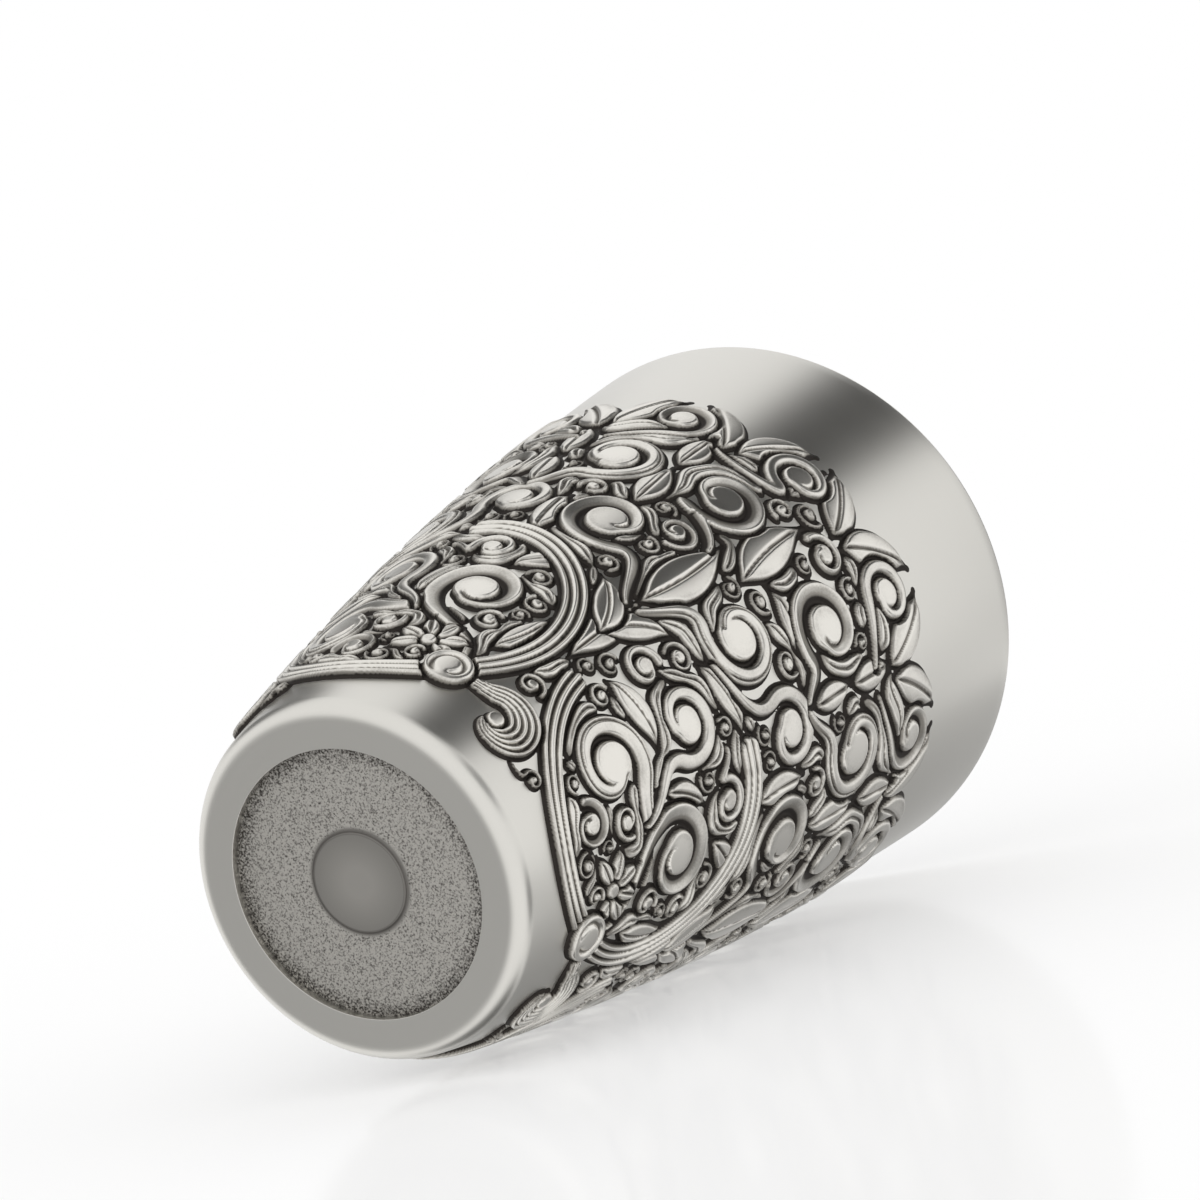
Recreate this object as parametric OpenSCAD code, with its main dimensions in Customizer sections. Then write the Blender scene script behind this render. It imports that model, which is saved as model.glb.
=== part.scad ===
// Tumbler of cast pewter: a bowed cup closed by a base plate, with soldered relief castings round it.
// The axis of the cup is Z, and the foot stands on z = 0.

/* [Cup] */
// Height from the foot to the top of the lip
cup_h = 120; // [90:1:150]
// Outside diameter at the lip
lip_d = 81; // [70:0.5:100]
// Diameter at which the line of the side meets the plane of the foot
foot_d = 47.4; // [40:0.2:57]
// How far the side bows out of a straight line at mid height
side_bow = 2.3; // [0.5:0.1:4]
// Thickness of the side, measured level
wall_t = 1.8; // [1.2:0.1:2.6]
// Radius of the rounding round the foot
foot_round = 2.8; // [1.5:0.1:3.6]

/* [Base] */
// Diameter of the sunk round under the foot
recess_d = 36; // [28:0.5:38]
// Depth of the sunk round, which is the thickness of the ledge that carries the base plate
recess_depth = 1.2; // [0.8:0.1:2]
// Thickness of the base plate
base_t = 1.8; // [1:0.1:3]
// Gap between the edge of the base plate and the side
base_clear = 0.1; // [0.05:0.05:0.3]
// Diameter of the smooth pad under the base plate
pad_d = 13.5; // [8:0.5:20]
// Height by which the pad stands out of the base plate
pad_h = 0.3; // [0.1:0.1:0.6]
// Leg of the solder fillet round the base plate
fillet_leg = 1.6; // [0.8:0.1:3]
// Gap between the solder fillet and the side
fillet_clear = 0.05; // [0.02:0.01:0.1]

/* [Relief] */
// Height of the plain stretch between the foot and the lowest ornament
foot_plain = 6; // [4:0.5:10]
// Height of the plain stretch between the highest ornament and the lip
lip_plain = 21; // [14:0.5:28]
// Gap that the solder fills between the side and the castings
seat = 0.12; // [0.1:0.01:0.18]
// Distance from the side to the outer face of the sheet that carries the raised ornament
sheet_t = 0.5; // [0.45:0.05:0.6]
// Distance from the side to the top of the raised ornament
relief_t = 1.0; // [0.8:0.05:1.2]
// Gap between neighbouring castings
seam = 0.3; // [0.2:0.05:0.5]

/* [Medallion] */
// Gap between neighbouring medallions where they are widest
medallion_gap = 1.1; // [0.8:0.1:2]
// Width of one ridge of the ring
ridge_w = 1.2; // [0.9:0.1:1.4]
// Width of the sheet's rim outside the ring
sheet_rim = 0.4; // [0.3:0.1:0.8]
// Distance between neighbouring ridges of the ring
ridge_pitch = 1.5; // [1.4:0.1:1.8]
// Direction from the medallion's centre to its rosette, down from level
rosette_turn = 53; // [45:1:60]
// Where the ring ends beyond the rosette, down from level
ring_low_turn = 172; // [150:1:180]
// Where the ring ends above the rosette, up from level
ring_high_turn = 92; // [60:1:110]
// Radius of a rosette
rosette_r = 3.4; // [2.6:0.1:4]
// Height of a rosette at its middle
rosette_h = 1.5; // [1.2:0.1:1.8]
// Width of the rim round a rosette
rim_w = 0.8; // [0.6:0.1:1]
// Gap between a rosette and the sheet under it
rosette_clear = 0.05; // [0.03:0.01:0.1]

/* [Scrolls] */
// Width of the strand of a panel's volute at its outer end
strand_w = 2.6; // [1.8:0.1:2.8]
// Number of turns of a panel's volute
volute_turns = 1.3; // [1:0.1:1.6]
// Width of the strand of a spray's volute at its outer end
spray_strand_w = 0.9; // [0.7:0.1:1]
// Number of turns of a spray's volute
spray_turns = 0.9; // [0.7:0.1:1.1]
// Length of a leaf on the crest
crest_leaf_l = 11.5; // [9:0.5:14]
// Lean of a leaf on the crest from upright
crest_lean = 34; // [10:1:45]
// Rise of the sheet's upper edge where the tips of two crest leaves meet
crest_rise = 3.6; // [0:0.2:4]
// Height of the spray's sheet above the lowest ornament
spray_drop = 0.8; // [0.6:0.1:1]
// Width of a leaf as a share of its length
leaf_slimness = 0.46; // [0.3:0.02:0.5]

/* [Hidden] */
$fn = 64;

SATIN = "#b9b7b1";
GRANULAR = "#97958f";
SOLDER = "#a9a8a4";
ANTIQUE = "#8a8781";

// The side is a stack of cones through points on a parabola.
bands = 12;
side = [for (i = [0:bands]) let (t = i / bands)
    [t * cup_h, (foot_d + (lip_d - foot_d) * t) / 2 + 4 * side_bow * t * (1 - t)]];
function side_r(z) = lookup(z, side);
function stations(low, high) = concat(
    [low],
    [for (s = side) if (s[0] > low && s[0] < high) s[0]],
    [high]
);

// Steps along a rounded corner of a profile
arc_steps = 12;
function arc(centre, r, from, to) = [for (i = [0:arc_steps])
    let (a = from + (to - from) * i / arc_steps) centre + r * [cos(a), sin(a)]];
function reversed(list) = [for (i = [len(list) - 1:-1:0]) list[i]];

// The rounding of the foot touches the foot plane and the lowest cone of the side.
foot_slope = (side[1][1] - side[0][1]) / (side[1][0] - side[0][0]);
foot_lean = atan(foot_slope);
foot_centre = [side[0][1] + foot_slope * foot_round - foot_round / cos(foot_lean), foot_round];
foot_top = foot_round * (1 - sin(foot_lean));
lip_r = wall_t / 2;
lip_z = cup_h - lip_r;
ledge_z = recess_depth;
base_r = side_r(ledge_z) - wall_t - base_clear;
base_top = ledge_z + base_t;

// The ornament lies between two heights and repeats round the cup.
low_z = foot_plain;
high_z = cup_h - lip_plain;
ornament_h = high_z - low_z;
repeats = 4;
repeat_turn = 360 / repeats;
ring_half_w = ridge_pitch + ridge_w / 2;
// A medallion stands on the lowest ornament and is as wide as a repeat at its centre, less the gap.
function medallion_fit(r, rounds) = rounds == 0 ? r
    : medallion_fit(side_r(low_z + r) * PI / repeats - medallion_gap / 2, rounds - 1);
fit_rounds = 8;
medallion_r = medallion_fit(side_r(low_z) * PI / repeats, fit_rounds);
ring_r = medallion_r - ring_half_w - sheet_rim;
ring_z = low_z + medallion_r;
crest_z = high_z - crest_leaf_l / 2 * cos(crest_lean);

// A drawing is wrapped on the side round its own centre: x runs level, y runs up, both in mm.
function turn_at(centre, p) = centre[0] + p[0] / side_r(centre[1] + p[1]) * 180 / PI;
function wrapped(centre, p, proud) = let (
    a = turn_at(centre, p),
    z = centre[1] + p[1],
    r = side_r(z) + proud
) [r * cos(a), r * sin(a), z];

function lean(z) = atan((side_r(z + 1) - side_r(z - 1)) / 2);

// The rosette sits on the ring, and on the sheets that meet under it.
ring_centre = [0, ring_z];
rosette_spot = ring_r * [cos(rosette_turn), -sin(rosette_turn)];
rosette_gap = asin((rosette_r + seam) / ring_r);
rosette_az = turn_at(ring_centre, rosette_spot);
rosette_z = ring_z + rosette_spot[1];

// Motifs of one repeat: turn from the medallion's centre, share of the ornament's height, radius or
// length as a share of the side's radius there, and the way a volute winds or the angle at which a
// leaf points, up from level.
VOLUTES = [
    [-16, 0.16, 0.27, 1], [14.5, 0.26, 0.24, -1], [-15, 0.335, 0.19, -1],
    [-26, 0.53, 0.22, 1], [-0.5, 0.555, 0.18, -1], [25, 0.54, 0.22, -1],
    [-16, 0.73, 0.21, -1], [10.5, 0.74, 0.2, 1], [35.5, 0.74, 0.15, -1]
];
LEAVES = [[-38.5, 0.4, 0.37, 84], [38.5, 0.41, 0.37, 96], [-36, 0.73, 0.38, 94]];
// The crest is a row of arches with a pair of leaves at each foot.
arches = 3;
arch_turn = repeat_turn / arches;
CREST = [for (i = [0:2 * arches - 1])
    [(i + 0.5) * arch_turn / 2 - repeat_turn / 2, 90 + (i % 2 == 0 ? crest_lean : -crest_lean)]];
function crest_edge(turn) = crest_z + crest_rise * pow(sin(180 * turn / arch_turn), 2);
// The spray's motifs: level and upright distance from the foot of the spandrel, then as above
SPRAY_VOLUTES = [[-3.4, 3.1, 2, 1], [4.8, 3.5, 2.6, -1]];
FAN_ROOT = [0.2, 3.4];
FAN_ANGLES = [for (i = [0:5]) 55 + 14 * i];
FAN_REACH = [2.4, 4.8];
FLUTE_R = [0.3, 0.5];

// Facets of the small round forms
eye_sides = 7;
flute_sides = 5;
// Raised ornament starts inside the sheet.
root = (seat + sheet_t) / 2;

// A solid carried along a list of rings that all have the same number of points
module swept(rings) {
    n = len(rings[0]);
    last = len(rings) - 1;
    sides = [for (i = [0:last - 1], j = [0:n - 1])
        let (a = i * n + j, b = i * n + (j + 1) % n)
        each [[a, a + n, b], [b, a + n, b + n]]];
    polyhedron(
        points = [for (ring = rings) each ring],
        faces = concat([[for (j = [0:n - 1]) j]], sides, [[for (j = [n - 1:-1:0]) last * n + j]])
    );
}

// A ridge with sloping sides along a flat path, wrapped on the side
module ridge(centre, path, widths) {
    last = len(path) - 1;
    swept([for (i = [0:last])
        let (
            along = path[min(i + 1, last)] - path[max(i - 1, 0)],
            across = [-along[1], along[0]] / norm(along) * widths[i] / 2
        )
        [
            wrapped(centre, path[i] - across, root),
            wrapped(centre, path[i] + across, root),
            wrapped(centre, path[i], relief_t)
        ]]);
}

// A sheet on the side between a lower and an upper edge, given as lists of [turn, height]. Its back
// lies far enough out for the chord between two columns to clear the side by the seat.
module sheet(lower, upper, rows) {
    last = len(lower) - 1;
    half_step = max([for (i = [1:last]) lower[i][0] - lower[i - 1][0]]) / 2;
    function column(i, grow, proud) = [for (k = [0:rows])
        let (
            p = lower[i] + (upper[i] - lower[i]) * k / rows,
            r = (side_r(p[1]) + proud) * grow
        )
        [r * cos(p[0]), r * sin(p[0]), p[1]]];
    swept([for (i = [0:last])
        concat(column(i, 1 / cos(half_step), seat), reversed(column(i, 1, sheet_t)))]);
}

// A low button on the side, narrower at its top
module button(centre, p, r, sides) {
    z = centre[1] + p[1];
    top_share = 0.65;
    rotate([0, 0, turn_at(centre, p)])
        translate([side_r(z), 0, z])
            rotate([0, 90 + lean(z), 0])
                translate([0, 0, root])
                    cylinder(h = relief_t - root, r1 = r, r2 = top_share * r, $fn = sides);
}

// A strand that winds in to a round eye and narrows on its way
module volute(centre, r, way, turns, w) {
    steps_per_turn = 7;
    steps = round(steps_per_turn * turns);
    eye_share = 0.27;
    eye = eye_share * r;
    start = 200;
    narrowing = 0.4;
    function reach(t) = (r - w / 2) * (1 - t) + eye * t;
    function spot(t) = let (a = start + 360 * turns * t) reach(t) * [way * cos(a), sin(a)];
    ridge(
        centre,
        [for (i = [0:steps]) spot(i / steps)],
        [for (i = [0:steps]) w * (1 - narrowing * i / steps)]
    );
    hull()
        button(centre, [0, 0], eye, eye_sides);
}

// A leaf with a ridge along its middle, pointed at both ends
module leaf(centre, l, angle) {
    steps = 3;
    tip = 0.06;
    // Below 1, the leaf is widest nearer to its root.
    skew = 0.8;
    along = [cos(angle), sin(angle)];
    across = [-sin(angle), cos(angle)];
    swept([for (i = [0:steps])
        let (
            t = i / steps,
            half = leaf_slimness * l / 2 * max(tip, sin(180 * pow(t, skew))),
            p = (t - 0.5) * l * along
        )
        [
            wrapped(centre, p - half * across, root),
            wrapped(centre, p + half * across, root),
            wrapped(centre, p, relief_t)
        ]]);
}

// A stretch of the medallion's ring, three ridges wide
module ring(from, to) {
    steps = 8;
    valley = (sheet_t + relief_t) / 2;
    section = [
        [-ring_half_w, root], [-ridge_pitch, relief_t], [-ridge_pitch / 2, valley], [0, relief_t],
        [ridge_pitch / 2, valley], [ridge_pitch, relief_t], [ring_half_w, root]
    ];
    swept([for (k = [0:steps])
        let (a = from + (to - from) * k / steps)
        [for (q = section) wrapped(ring_centre, (ring_r + q[0]) * [cos(a), sin(a)], q[1])]]);
}

function motif_centre(m) = [m[0], low_z + m[1] * ornament_h];
function motif_size(m) = m[2] * side_r(motif_centre(m)[1]);

module panel() {
    columns = 16;
    rows = 5;
    end = repeat_turn / 2 - seam / 2 / side_r(low_z) * 180 / PI;
    // The lower edge follows the medallion and runs level beyond it.
    lower = concat(
        [[-end, ring_z]],
        [for (k = [0:columns]) let (a = 180 + 180 * k / columns, p = medallion_r * [cos(a), sin(a)])
            [turn_at(ring_centre, p), ring_z + p[1]]],
        [[end, ring_z]]
    );
    color(ANTIQUE)
        union() {
            sheet(lower, [for (l = lower) [l[0], crest_edge(l[0])]], rows);
            ring(-ring_low_turn, -rosette_turn - rosette_gap);
            ring(rosette_gap - rosette_turn, ring_high_turn);
            for (v = VOLUTES)
                volute(motif_centre(v), motif_size(v), v[3], volute_turns, strand_w);
            for (l = LEAVES)
                leaf(motif_centre(l), motif_size(l), l[3]);
            for (c = CREST)
                leaf([c[0], crest_z], crest_leaf_l, c[1]);
        }
}

// One flute of a fan, which widens outwards
module flute(centre, angle) {
    along = [cos(angle), sin(angle)];
    hull() {
        button(centre, FAN_REACH[0] * along, FLUTE_R[0], flute_sides);
        button(centre, FAN_REACH[1] * along, FLUTE_R[1], flute_sides);
    }
}

// The fan scroll in the spandrel between two medallions
module spray() {
    step = 12;
    rows = 2;
    // The chords of the edge clear the medallion by the seam.
    edge_r = (medallion_r + seam) / cos(step / 2);
    half_turn = repeat_turn / 2;
    function spandrel(a, turn) = let (p = edge_r * [cos(a), sin(a)])
        [turn_at(ring_centre, p) + turn, ring_z - seam + p[1]];
    function spot(m) = [turn_at([0, low_z], m), low_z + m[1]];
    // Up along one medallion to a blunt tip, and down along the next
    upper = concat(
        [for (k = [-4:-2]) spandrel(step * k, -half_turn)],
        [for (k = [2:5]) spandrel(180 + step * k, half_turn)]
    );
    color(ANTIQUE)
        union() {
            sheet([for (u = upper) [u[0], low_z + spray_drop]], upper, rows);
            for (v = SPRAY_VOLUTES)
                volute(spot(v), v[2], v[3], spray_turns, spray_strand_w);
            for (a = FAN_ANGLES)
                flute(spot(FAN_ROOT), a);
        }
}

module relief_panel(i) {
    rotate([0, 0, repeat_turn * (i + 0.5)])
        panel();
}

module fan_spray(i) {
    rotate([0, 0, repeat_turn * i])
        spray();
}

// A round boss with a raised rim and a domed middle
module rosette(i) {
    rim_z = rosette_h - rim_w / 2;
    groove_z = rosette_h - rim_w;
    dome_r = rosette_r - 2 * rim_w;
    dome_arc_r = (dome_r * dome_r + rim_w * rim_w) / (2 * rim_w);
    dome_edge = acos(dome_r / dome_arc_r);
    color(ANTIQUE)
        rotate([0, 0, repeat_turn * (i + 0.5) + rosette_az])
            translate([side_r(rosette_z), 0, rosette_z])
                rotate([0, 90 + lean(rosette_z), 0])
                    rotate_extrude()
                        polygon(concat(
                            [[0, sheet_t + rosette_clear], [rosette_r, sheet_t + rosette_clear]],
                            arc([rosette_r - rim_w / 2, rim_z], rim_w / 2, 0, 180),
                            arc([0, rosette_h - dome_arc_r], dome_arc_r, dome_edge, 90)
                        ));
}

module cup_body() {
    inner = stations(ledge_z, lip_z);
    color(SATIN)
        rotate_extrude()
            polygon(concat(
                [[recess_d / 2, 0]],
                arc(foot_centre, foot_round, -90, -foot_lean),
                [for (s = side) if (s[0] > foot_top && s[0] < lip_z) [s[1], s[0]]],
                arc([side_r(lip_z) - lip_r, lip_z], lip_r, 0, 180),
                reversed([for (z = inner) if (z < lip_z) [side_r(z) - wall_t, z]]),
                [[recess_d / 2, ledge_z]]
            ));
}

module base_plate() {
    color(GRANULAR)
        rotate_extrude()
            polygon(concat(
                [[0, base_top], [0, ledge_z - pad_h]],
                arc([pad_d / 2 - pad_h, ledge_z], pad_h, -90, 0),
                [[base_r, ledge_z], [base_r, base_top]]
            ));
}

module solder_fillet() {
    foot = side_r(base_top) - wall_t - fillet_clear;
    head = side_r(base_top + fillet_leg) - wall_t - fillet_clear;
    color(SOLDER)
        rotate_extrude()
            polygon([[foot, base_top], [head, base_top + fillet_leg], [foot - fillet_leg, base_top]]);
}

cup_body();
base_plate();
solder_fillet();
relief_panel(0);  // relief_panel_1
relief_panel(1);  // relief_panel_2
relief_panel(2);  // relief_panel_3
relief_panel(3);  // relief_panel_4
fan_spray(0);  // fan_spray_1
fan_spray(1);  // fan_spray_2
fan_spray(2);  // fan_spray_3
fan_spray(3);  // fan_spray_4
rosette(0);  // rosette_1
rosette(1);  // rosette_2
rosette(2);  // rosette_3
rosette(3);  // rosette_4
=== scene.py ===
"""Looks of a cast pewter tumbler: satin cup, granular base and antiqued scroll relief round the side."""

import math
from typing import NamedTuple

import bpy
import numpy as np
from bpy.props import FloatProperty, FloatVectorProperty, IntProperty, PointerProperty
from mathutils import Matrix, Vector


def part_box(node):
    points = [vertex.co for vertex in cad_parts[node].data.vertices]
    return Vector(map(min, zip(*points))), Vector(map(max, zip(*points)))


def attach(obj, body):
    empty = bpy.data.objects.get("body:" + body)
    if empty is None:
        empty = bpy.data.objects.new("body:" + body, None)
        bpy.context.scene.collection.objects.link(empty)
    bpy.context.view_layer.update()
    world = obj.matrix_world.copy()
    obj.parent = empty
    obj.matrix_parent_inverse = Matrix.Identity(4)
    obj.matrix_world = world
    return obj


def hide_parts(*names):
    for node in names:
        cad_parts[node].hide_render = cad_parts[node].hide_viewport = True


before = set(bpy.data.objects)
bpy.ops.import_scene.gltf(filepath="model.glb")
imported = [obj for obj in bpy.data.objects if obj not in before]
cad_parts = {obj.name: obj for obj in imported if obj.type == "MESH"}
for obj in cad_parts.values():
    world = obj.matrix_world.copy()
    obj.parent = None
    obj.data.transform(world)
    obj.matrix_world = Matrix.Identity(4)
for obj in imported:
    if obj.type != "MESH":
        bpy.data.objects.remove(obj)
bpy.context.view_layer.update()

bl_info = {
    "name": "Pewter tumbler",
    "version": (1, 0, 0),
    "blender": (4, 5, 0),
    "location": "3D View > Sidebar > Tumbler",
    "description": "Builds a tumbler of satin pewter with antiqued scroll relief",
    "category": "Object",
}

MM = 0.001
BODY = "root"
REPEATS = 4
TURN = 2 * np.pi / REPEATS

# The ornament's drawing plane: the side unrolled on a cylinder of this radius, in mm
UNROLL_R = 34.0
PERIOD = UNROLL_R * TURN
# Mesh cells along one side of a block, which is the unit that a relief piece is cut in
BLOCK = 4
# How far outside a shape its distance is still worked out, in mm
REACH = 5.0
# Distance between the points of a drawn line, in mm, and the fewest that a line has
SAMPLE = 0.22
FEWEST_SAMPLES = 6
# Points with which a Bezier curve, a scroll's spiral, and the ring or a fan are worked out
CURVE_POINTS = 60
SPIRAL_POINTS = 200
ROUND_POINTS = 160
# Most pairs of a grid point and a line's point that are compared at a time
MOST_PAIRS = 4_000_000
# Width of the sloping flank of a raised shape, in mm
FLANK = 0.55
# Shares of the relief's height: the ground between shapes, and the rise of a groove's side from that ground,
# which takes it above every shape
GROUND = 0.05
GROOVE_RISE = 1.2
# How far below the wall the skin of the relief goes where nothing is drawn, in mm
SUNK = 0.2
# Depth of the back of a relief piece below the wall, in mm
BACK = 0.7
# Width of the finer groove round a small shape, in mm
FINE_GROOVE = 0.3


def linear(code):
    """Linear colour of an sRGB hex code, with full alpha."""
    srgb = np.array([int(code[i:i + 2], 16) for i in (1, 3, 5)]) / 255
    rgb = np.where(srgb <= 0.04045, srgb / 12.92, ((srgb + 0.055) / 1.055) ** 2.4)
    return (*rgb.tolist(), 1.0)


def smooth(low, high, x):
    """Smooth step: 0 below low, 1 above high and a cubic between them."""
    t = np.clip((x - low) / (high - low), 0, 1)
    return t * t * (3 - 2 * t)


def unit(degrees):
    """Direction in the drawing plane, as an angle up from the level."""
    a = np.radians(degrees)
    return np.stack([np.cos(a), np.sin(a)], -1)


def bezier(p0, p1, p2, p3):
    """Cubic Bezier curve between two ends, pulled by two points."""
    t = np.linspace(0, 1, CURVE_POINTS)[:, None]
    s = 1 - t
    return s ** 3 * p0 + 3 * s * s * t * p1 + 3 * s * t * t * p2 + t ** 3 * p3


def arc(centre, radius, start, end, count):
    """Points on a circle between two angles in degrees."""
    return np.asarray(centre) + radius * unit(np.linspace(start, end, count))


class CupSizes(bpy.types.PropertyGroup):
    """Sizes of the cup, its base and its solder."""

    height: FloatProperty(
        name="Height", description="Foot to lip",
        default=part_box("cup_body")[1].z, unit="LENGTH")
    lip_diameter: FloatProperty(
        name="Lip diameter", description="Where the line of the side meets the plane of the lip",
        default=0.081, unit="LENGTH")
    foot_diameter: FloatProperty(
        name="Foot diameter", description="Where the line of the side meets the plane of the foot",
        default=0.0474, unit="LENGTH")
    bow: FloatProperty(
        name="Bow", description="How far the side bows out of a straight line at mid height",
        default=0.0023, unit="LENGTH")
    wall: FloatProperty(
        name="Wall", description="Thickness of the side", default=0.0018, unit="LENGTH")
    foot_rounding: FloatProperty(
        name="Foot rounding", description="Radius round the foot", default=0.0028, unit="LENGTH")
    recess_diameter: FloatProperty(
        name="Recess diameter", description="Diameter of the sunk round under the foot",
        default=0.036, unit="LENGTH")
    pad_diameter: FloatProperty(
        name="Pad diameter", description="Diameter of the smooth pad under the base",
        default=0.0135, unit="LENGTH")
    ledge: FloatProperty(
        name="Ledge", description="Height at which the base rests in the foot",
        default=0.0012, unit="LENGTH")
    edge_break: FloatProperty(
        name="Edge break", description="Radius that takes the sharpness off turned edges",
        default=0.00006, unit="LENGTH")
    segments: IntProperty(
        name="Segments", description="Steps round the cup", default=256, min=64)


class ReliefSizes(bpy.types.PropertyGroup):
    """Sizes of the ornament round the side."""

    low: FloatProperty(
        name="Lower edge", description="Height of the lowest ornament",
        default=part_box("relief_panel_1")[0].z, unit="LENGTH")
    high: FloatProperty(
        name="Upper edge", description="Height of the highest ornament",
        default=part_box("relief_panel_1")[1].z, unit="LENGTH")
    height: FloatProperty(
        name="Relief", description="How far the highest scrolls stand out of the side",
        default=0.0011, unit="LENGTH")
    groove: FloatProperty(
        name="Groove", description="Width of the dark groove round each shape",
        default=0.0006, unit="LENGTH")
    step: FloatProperty(
        name="Step", description="Distance between the points of the relief mesh",
        default=0.00018, unit="LENGTH")


class PewterColours(bpy.types.PropertyGroup):
    """Colours of the metal and of the dark film in its grooves."""

    satin: FloatVectorProperty(
        name="Satin", description="Brushed wall", subtype="COLOR", size=4, default=linear("#dcdad4"))
    worn: FloatVectorProperty(
        name="Worn", description="Rubbed ridges", subtype="COLOR", size=4, default=linear("#e8e5de"))
    antique: FloatVectorProperty(
        name="Antique", description="Faces of the relief", subtype="COLOR", size=4,
        default=linear("#938f88"))
    # Also the colour of the painted shade on the base, towards its recess wall and round its pad
    film: FloatVectorProperty(
        name="Film", description="Dark film in the grooves", subtype="COLOR", size=4,
        default=linear("#3c3835"))
    granular: FloatVectorProperty(
        name="Granular", description="Rough cast base", subtype="COLOR", size=4, default=linear("#c6c3bd"))
    solder: FloatVectorProperty(
        name="Solder", description="Solder inside", subtype="COLOR", size=4, default=linear("#b5b5b2"))


class StudioSettings(bpy.types.PropertyGroup):
    """Camera and light."""

    camera_place: FloatVectorProperty(
        name="Camera place", description="Where the camera stands", subtype="TRANSLATION",
        unit="LENGTH", default=(-0.29626, -0.09057, -0.40363))
    camera_turn: FloatVectorProperty(
        name="Camera turn", description="How the camera is turned", subtype="EULER",
        default=tuple(math.radians(a) for a in (161.24, -26.927, -123.579)))
    lens: FloatProperty(name="Lens", description="Focal length", default=121.6, unit="CAMERA")
    rest_turn: FloatProperty(
        name="Rest turn", description="Turn of the line on which the cup lies in the photograph",
        subtype="ANGLE", default=math.radians(-53))
    fill: FloatProperty(name="Fill", description="Strength of the light from all round", default=0.85)


class Side:
    """Outside of the cup in mm: radius and slope by height, and the plane on which the ornament is drawn."""

    def __init__(self, sizes):
        self.height = sizes.height / MM
        self.foot = sizes.foot_diameter / MM / 2
        self.lip = sizes.lip_diameter / MM / 2
        self.bow = sizes.bow / MM

    def radius(self, z):
        """A straight line from foot to lip plus a parabola that is highest at mid height."""
        t = z / self.height
        return self.foot + (self.lip - self.foot) * t + 4 * self.bow * t * (1 - t)

    def slope(self, z):
        """Growth of the radius with height."""
        t = z / self.height
        return ((self.lip - self.foot) + 4 * self.bow * (1 - 2 * t)) / self.height

    def unroll(self, low):
        """Heights, a tenth past both ends, and their places on the drawing plane, which is 0 at `low`.

        Angles stay true if a step up is scaled as a step round is: by the unrolled over the local radius.
        """
        z = np.linspace(-0.1 * self.height, 1.1 * self.height, 4000)
        rate = UNROLL_R / self.radius(z) * np.sqrt(1 + self.slope(z) ** 2)
        y = np.concatenate([[0], np.cumsum((rate[1:] + rate[:-1]) / 2 * np.diff(z))])
        return z, y - np.interp(low, z, y)


# A section gives the height of a shape as a share of the relief's height. Across a strand q runs from -1 to
# 1, along it t runs from 0 to 1, and half is its half width in mm. In a disc r is the share of its radius.


def band_section(q, t, half):
    """Rounded strand: half an ellipse across, on raised edges."""
    edge, crown = 0.42, 0.53
    return edge + crown * np.sqrt(np.clip(1 - q * q, 0, 1))


def scoop_section(side):
    """Strand that rises in a hollow curve, a power of a smooth step, to a sharp rim on one side."""
    floor, rise, hollow = 0.36, 0.6, 1.5
    start, rim = -0.95, 0.75

    def section(q, t, half):
        return floor + rise * smooth(start, rim, q * side) ** hollow
    return section


def comb_section(ridges):
    """Strand with that many equal ridges: the size of a sine to a power under 1, so grooves are sharp."""
    floor, rise, power = 0.15, 0.8, 0.75

    def section(q, t, half):
        return floor + rise * np.abs(np.sin(ridges * np.pi / 2 * (q + 1))) ** power
    return section


def rope_section(side):
    """Rounded strand with a bell-shaped groove along it, nearer to one edge."""
    place, depth, width = 0.42, 0.42, 0.17

    def section(q, t, half):
        return band_section(q, t, half) - depth * np.exp(-((q * side - place) * half / width) ** 2)
    return section


def blade_section(q, t, half):
    """Leaf that swells across as a cosine, lies down at its tip and has a sharp crease in its middle."""
    edge, swell, bend = 0.68, 0.26, 0.45
    depth, width = 0.5, 0.2
    crease_start, tip_start, droop = 0.06, 0.7, 0.55
    crease = np.exp(-(np.abs(q) * half / width) ** 2)
    crease = crease * smooth(1.0, tip_start, t) * smooth(0.0, crease_start, t)
    swollen = edge + swell * np.cos(bend * np.pi * q) - depth * crease
    return swollen * (1 - droop * smooth(tip_start, 1.0, t))


def eye_section(r, turn):
    """Nearly flat round eye that falls off with the cube of the radius."""
    top, fall = 0.95, 0.1
    return top - fall * r ** 3


def rosette_section(r, turn):
    """Round boss, rolled up like a scroll: a low dome with a groove that winds out, open to the foot."""
    rim, dome = 1.08, 0.16
    depth, width, inmost, growth = 0.5, 0.1, 0.5, 0.2
    start, fade = 0.02, 0.16
    # The share of the turn counts from straight down, where the groove starts and ends
    share = (turn / (2 * np.pi) + 0.25) % 1
    groove = np.exp(-((r - inmost - growth * share) / width) ** 2)
    groove = groove * smooth(start, fade, share) * smooth(1.0, 1 - fade, share)
    return rim + dome * np.clip(1 - r * r, 0, 1) - depth * groove


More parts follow.
